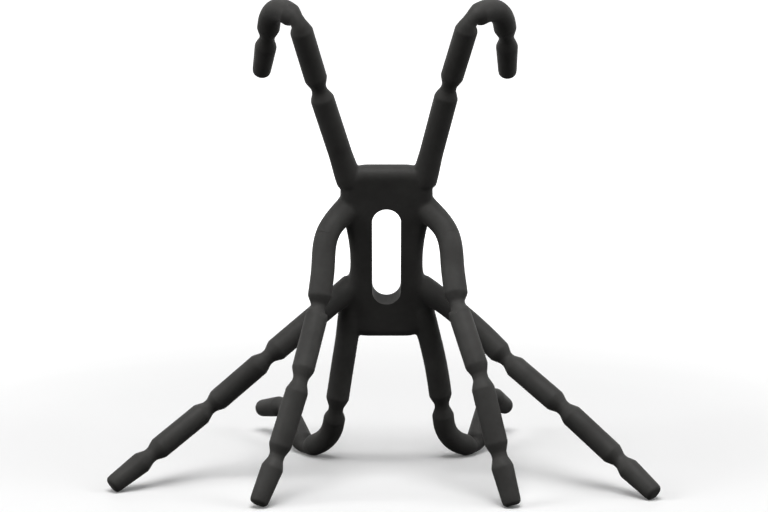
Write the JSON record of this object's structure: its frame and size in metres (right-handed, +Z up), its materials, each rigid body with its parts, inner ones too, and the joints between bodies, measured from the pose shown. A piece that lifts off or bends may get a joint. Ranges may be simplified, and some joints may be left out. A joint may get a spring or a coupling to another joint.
{
  "type": "flexible grip stand",
  "caption": "Flexible grip stand: a flat slotted body with soft bendable legs, the upper and lower ones hooked round a thin slab and the others splayed as feet.",
  "frame": {"origin": "middle of the footprint's box, on the table under the stand", "axes": "+Z up, -Y toward the side that the picture shows, where the front and side legs stand, +X to the right as the picture shows it"},
  "size_m": [0.1498, 0.092, 0.1336],
  "materials": {
    "rubber": "matt soft-touch black rubber",
    "wire": "bright drawn wire"
  },
  "bodies": {
    "frame": {"body": "rubber", "upper_left_wire": "wire", "upper_right_wire": "wire", "front_left_wire": "wire", "front_right_wire": "wire", "side_left_wire": "wire", "side_right_wire": "wire", "lower_left_wire": "wire", "lower_right_wire": "wire"},
    "upper_left_mid": {"upper_left_mid": "rubber"},
    "upper_left_outer": {"upper_left_outer": "rubber"},
    "upper_left_tip": {"upper_left_tip": "rubber"},
    "upper_right_mid": {"upper_right_mid": "rubber"},
    "upper_right_outer": {"upper_right_outer": "rubber"},
    "upper_right_tip": {"upper_right_tip": "rubber"},
    "front_left_mid": {"front_left_mid": "rubber"},
    "front_left_outer": {"front_left_outer": "rubber"},
    "front_left_tip": {"front_left_tip": "rubber"},
    "front_right_mid": {"front_right_mid": "rubber"},
    "front_right_outer": {"front_right_outer": "rubber"},
    "front_right_tip": {"front_right_tip": "rubber"},
    "side_left_mid": {"side_left_mid": "rubber"},
    "side_left_outer": {"side_left_outer": "rubber"},
    "side_left_tip": {"side_left_tip": "rubber"},
    "side_right_mid": {"side_right_mid": "rubber"},
    "side_right_outer": {"side_right_outer": "rubber"},
    "side_right_tip": {"side_right_tip": "rubber"},
    "lower_left_mid": {"lower_left_mid": "rubber"},
    "lower_left_outer": {"lower_left_outer": "rubber"},
    "lower_left_tip": {"lower_left_tip": "rubber"},
    "lower_right_mid": {"lower_right_mid": "rubber"},
    "lower_right_outer": {"lower_right_outer": "rubber"},
    "lower_right_tip": {"lower_right_tip": "rubber"}
  },
  "joints": [
    {"name": "upper_left_neck_1", "type": "hinge", "parent": "frame", "child": "upper_left_mid", "pos_m": [-0.01696, -0.01849, 0.1093], "axis": [0.9613, -0.0746, 0.2654], "range_deg": [-90.5, 78.5], "deforming": ["upper_left_wire"]},
    {"name": "upper_left_neck_2", "type": "hinge", "parent": "upper_left_mid", "child": "upper_left_outer", "pos_m": [-0.0221, -0.02768, 0.12815], "axis": [-0.7797, -0.4523, -0.4329], "range_deg": [-165.5, 4], "deforming": ["upper_left_wire"]},
    {"name": "upper_left_neck_3", "type": "hinge", "parent": "upper_left_outer", "child": "upper_left_tip", "pos_m": [-0.03107, -0.01277, 0.12253], "axis": [-0.104, -0.8426, -0.5284], "range_deg": [-82.5, 86.5], "deforming": ["upper_left_wire"]},
    {"name": "upper_right_neck_1", "type": "hinge", "parent": "frame", "child": "upper_right_mid", "pos_m": [0.01803, -0.01813, 0.10981], "axis": [-0.9744, -0.0609, 0.2166], "range_deg": [-76.5, 93], "deforming": ["upper_right_wire"]},
    {"name": "upper_right_neck_2", "type": "hinge", "parent": "upper_right_mid", "child": "upper_right_outer", "pos_m": [0.02317, -0.02766, 0.1285], "axis": [0.6797, -0.5608, -0.4728], "range_deg": [-4, 165.5], "deforming": ["upper_right_wire"]},
    {"name": "upper_right_neck_3", "type": "hinge", "parent": "upper_right_outer", "child": "upper_right_tip", "pos_m": [0.03372, -0.01349, 0.12264], "axis": [-0.1459, -0.7874, -0.5989], "range_deg": [-77.5, 91.5], "deforming": ["upper_right_wire"]},
    {"name": "front_left_neck_1", "type": "hinge", "parent": "frame", "child": "front_left_mid", "pos_m": [-0.01718, -0.02016, 0.04977], "axis": [-0.7439, 0.6344, -0.2104], "range_deg": [-92.5, 66], "deforming": ["front_left_wire"]},
    {"name": "front_left_neck_2", "type": "hinge", "parent": "front_left_mid", "child": "front_left_outer", "pos_m": [-0.02191, -0.03158, 0.03206], "axis": [0.9269, 0.1499, -0.344], "range_deg": [-99.5, 70], "deforming": ["front_left_wire"]},
    {"name": "front_left_neck_3", "type": "hinge", "parent": "front_left_outer", "child": "front_left_tip", "pos_m": [-0.02814, -0.03809, 0.01243], "axis": [0.8835, -0.4497, -0.1312], "range_deg": [-75, 95], "deforming": ["front_left_wire"]},
    {"name": "front_right_neck_1", "type": "hinge", "parent": "frame", "child": "front_right_mid", "pos_m": [0.02026, -0.0218, 0.05087], "axis": [-0.256, -0.8617, 0.4381], "range_deg": [-87.5, 67.5], "deforming": ["front_right_wire"]},
    {"name": "front_right_neck_2", "type": "hinge", "parent": "front_right_mid", "child": "front_right_outer", "pos_m": [0.02636, -0.03261, 0.03319], "axis": [0.9384, 0.3212, 0.1275], "range_deg": [-98, 71.5], "deforming": ["front_right_wire"]},
    {"name": "front_right_neck_3", "type": "hinge", "parent": "front_right_outer", "child": "front_right_tip", "pos_m": [0.03129, -0.03907, 0.01317], "axis": [-0.8206, 0.453, -0.3485], "range_deg": [-85.5, 83.5], "deforming": ["front_right_wire"]},
    {"name": "side_left_neck_1", "type": "hinge", "parent": "frame", "child": "side_left_mid", "pos_m": [-0.0316, -0.01325, 0.03456], "axis": [-0.6504, 0.1304, 0.7483], "range_deg": [-60.5, 109], "deforming": ["side_left_wire"]},
    {"name": "side_left_neck_2", "type": "hinge", "parent": "side_left_mid", "child": "side_left_outer", "pos_m": [-0.04782, -0.0125, 0.02033], "axis": [0.6458, -0.167, -0.745], "range_deg": [-55.5, 114], "deforming": ["side_left_wire"]},
    {"name": "side_left_neck_3", "type": "hinge", "parent": "side_left_outer", "child": "side_left_tip", "pos_m": [-0.06344, -0.02218, 0.00896], "axis": [-0.4675, -0.2433, 0.8498], "range_deg": [-82, 88], "deforming": ["side_left_wire"]},
    {"name": "side_right_neck_1", "type": "hinge", "parent": "frame", "child": "side_right_mid", "pos_m": [0.03486, -0.0087, 0.03291], "axis": [0.7205, 0.4019, 0.5651], "range_deg": [-70, 90], "deforming": ["side_right_wire"]},
    {"name": "side_right_neck_2", "type": "hinge", "parent": "side_right_mid", "child": "side_right_outer", "pos_m": [0.04974, -0.01965, 0.02172], "axis": [0.4806, -0.2157, 0.85], "range_deg": [-90.5, 78.5], "deforming": ["side_right_wire"]},
    {"name": "side_right_neck_3", "type": "hinge", "parent": "side_right_outer", "child": "side_right_tip", "pos_m": [0.0648, -0.0282, 0.00882], "axis": [-0.6691, -0.0617, -0.7406], "range_deg": [-96.5, 73], "deforming": ["side_right_wire"]},
    {"name": "lower_left_neck_1", "type": "hinge", "parent": "frame", "child": "lower_left_mid", "pos_m": [-0.01315, 0.00326, 0.01602], "axis": [-0.9886, -0.0079, 0.1504], "range_deg": [-55.5, 114], "deforming": ["lower_left_wire"]},
    {"name": "lower_left_neck_2", "type": "hinge", "parent": "lower_left_mid", "child": "lower_left_outer", "pos_m": [-0.02213, 0.01533, 0.00183], "axis": [0.7315, 0.479, -0.4852], "range_deg": [-139, 30.5], "deforming": ["lower_left_wire"]},
    {"name": "lower_left_neck_3", "type": "hinge", "parent": "lower_left_outer", "child": "lower_left_tip", "pos_m": [-0.02889, 0.03408, 0.01015], "axis": [-0.7997, -0.4597, 0.3861], "range_deg": [-124, 45.5], "deforming": ["lower_left_wire"]},
    {"name": "lower_right_neck_1", "type": "hinge", "parent": "frame", "child": "lower_right_mid", "pos_m": [0.01711, 0.00633, 0.01664], "axis": [0.99, -0.0536, 0.1304], "range_deg": [-94, 75.5], "deforming": ["lower_right_wire"]},
    {"name": "lower_right_neck_2", "type": "hinge", "parent": "lower_right_mid", "child": "lower_right_outer", "pos_m": [0.02691, 0.01572, 0.00193], "axis": [0.6401, -0.5551, 0.5311], "range_deg": [-149, 20.5], "deforming": ["lower_right_wire"]},
    {"name": "lower_right_neck_3", "type": "hinge", "parent": "lower_right_outer", "child": "lower_right_tip", "pos_m": [0.0322, 0.03306, 0.01368], "axis": [-0.9217, 0.3667, -0.1262], "range_deg": [-144, 25.5], "deforming": ["lower_right_wire"]}
  ]
}
